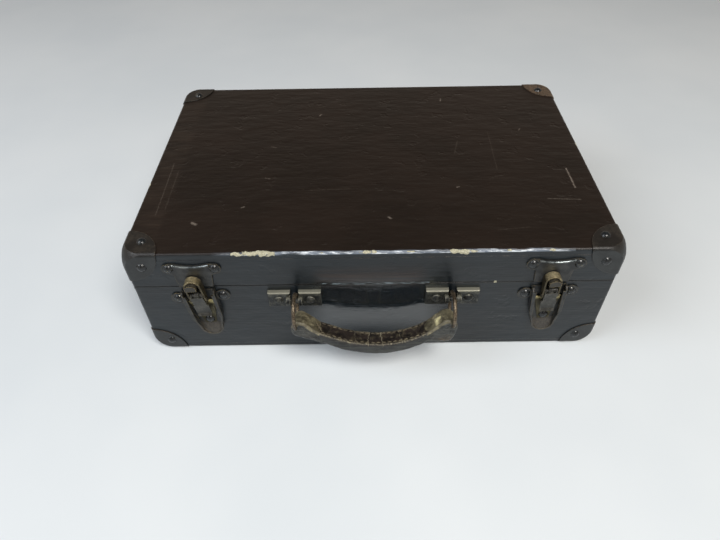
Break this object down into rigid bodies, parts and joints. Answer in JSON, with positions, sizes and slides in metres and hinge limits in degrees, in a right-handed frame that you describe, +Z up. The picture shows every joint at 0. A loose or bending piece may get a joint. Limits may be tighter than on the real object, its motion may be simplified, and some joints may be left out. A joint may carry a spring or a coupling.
{
  "type": "tube tester case",
  "caption": "Shallow black wooden instrument case with a hinged lid, metal corner caps, draw latches at the front and a leather handle on rings.",
  "frame": {"origin": "middle of the wooden box at its underside", "axes": "+Z up, +X to the right as seen from the front, +Y to the back; the latches and the handle are on the -Y face"},
  "size_m": [0.3864, 0.2997, 0.1172],
  "materials": {
    "case_wood": "black paint over wood, worn satin",
    "inner_wood": "bare wood",
    "corner_metal": "black paint worn to brown metal",
    "latch_metal": "worn plating, tarnished",
    "lever_steel": "dull, brass-coloured at its edges",
    "latch_brass": "worn, dull",
    "pin_steel": "dull",
    "rivet_brass": "tarnished",
    "bracket_metal": "black paint worn at the edges",
    "ring_steel": "tarnished",
    "grip_leather": "cracked and polished by the hand",
    "tab_leather": "worn pale",
    "hinge_steel": "tarnished"
  },
  "bodies": {
    "base": {"base_back_board": "case_wood", "base_bottom_panel": "case_wood", "base_corner_back_left": "corner_metal", "base_corner_back_right": "corner_metal", "base_corner_front_left": "corner_metal", "base_corner_front_right": "corner_metal", "base_corner_rivets": "rivet_brass", "base_front_board": "case_wood", "base_left_board": "case_wood", "base_panel_cleat_left": "inner_wood", "base_panel_cleat_right": "inner_wood", "base_right_board": "case_wood", "base_rim_strip_back": "inner_wood", "base_rim_strip_front": "inner_wood", "base_rim_strip_left": "inner_wood", "base_rim_strip_right": "inner_wood", "handle_bracket_left": "bracket_metal", "handle_bracket_right": "bracket_metal", "handle_bracket_rivets": "rivet_brass", "hinge_base_screws": "hinge_steel", "hinge_left_base_leaf": "hinge_steel", "hinge_left_pin": "hinge_steel", "hinge_right_base_leaf": "hinge_steel", "hinge_right_pin": "hinge_steel", "latch_base_rivets": "rivet_brass", "latch_left_base_plate": "latch_metal", "latch_left_lever_pin": "pin_steel", "latch_left_spring": "latch_brass", "latch_right_base_plate": "latch_metal", "latch_right_lever_pin": "pin_steel", "latch_right_spring": "latch_brass"},
    "lid": {"hinge_left_lid_leaf": "hinge_steel", "hinge_lid_screws": "hinge_steel", "hinge_right_lid_leaf": "hinge_steel", "latch_left_lid_plate": "latch_metal", "latch_lid_rivets": "rivet_brass", "latch_right_lid_plate": "latch_metal", "lid_back_board": "case_wood", "lid_corner_back_left": "corner_metal", "lid_corner_back_right": "corner_metal", "lid_corner_front_left": "corner_metal", "lid_corner_front_right": "corner_metal", "lid_corner_rivets": "rivet_brass", "lid_front_board": "case_wood", "lid_left_board": "case_wood", "lid_right_board": "case_wood", "lid_top_panel": "case_wood"},
    "handle": {"handle_grip": "grip_leather", "handle_ring_left": "ring_steel", "handle_ring_right": "ring_steel", "handle_tab_left": "tab_leather", "handle_tab_right": "tab_leather"},
    "latch_left_lever": {"latch_left_lever": "lever_steel", "latch_left_link_pin": "pin_steel"},
    "latch_left_link": {"latch_left_link": "latch_brass"},
    "latch_right_lever": {"latch_right_lever": "lever_steel", "latch_right_link_pin": "pin_steel"},
    "latch_right_link": {"latch_right_link": "latch_brass"}
  },
  "joints": [
    {"name": "lid_hinge", "type": "hinge", "parent": "base", "child": "lid", "pos_m": [0, 0.13, 0.0795], "axis": [-1, 0, 0], "range_deg": [0, 105]},
    {"name": "handle_swing", "type": "hinge", "parent": "base", "child": "handle", "pos_m": [0, -0.1418, 0.065], "axis": [-1, 0, 0], "range_deg": [0, 150]},
    {"name": "latch_left_lever_turn", "type": "hinge", "parent": "base", "child": "latch_left_lever", "pos_m": [-0.139, -0.132, 0.075], "axis": [-0.9962, 0, -0.0872], "range_deg": [0, 130]},
    {"name": "latch_left_link_turn", "type": "hinge", "parent": "latch_left_lever", "child": "latch_left_link", "pos_m": [-0.13856, -0.132, 0.07002], "axis": [-0.9962, 0, -0.0872], "range_deg": [-124, 0]},
    {"name": "latch_right_lever_turn", "type": "hinge", "parent": "base", "child": "latch_right_lever", "pos_m": [0.139, -0.132, 0.075], "axis": [-0.9976, 0, -0.0698], "range_deg": [0, 130]},
    {"name": "latch_right_link_turn", "type": "hinge", "parent": "latch_right_lever", "child": "latch_right_link", "pos_m": [0.13935, -0.132, 0.07001], "axis": [-0.9976, 0, -0.0698], "range_deg": [-124, 0]}
  ],
  "couplings": [
    {"joint": "latch_left_link_turn", "follows": "latch_left_lever_turn", "ratio": -0.95},
    {"joint": "latch_right_link_turn", "follows": "latch_right_lever_turn", "ratio": -0.95}
  ]
}
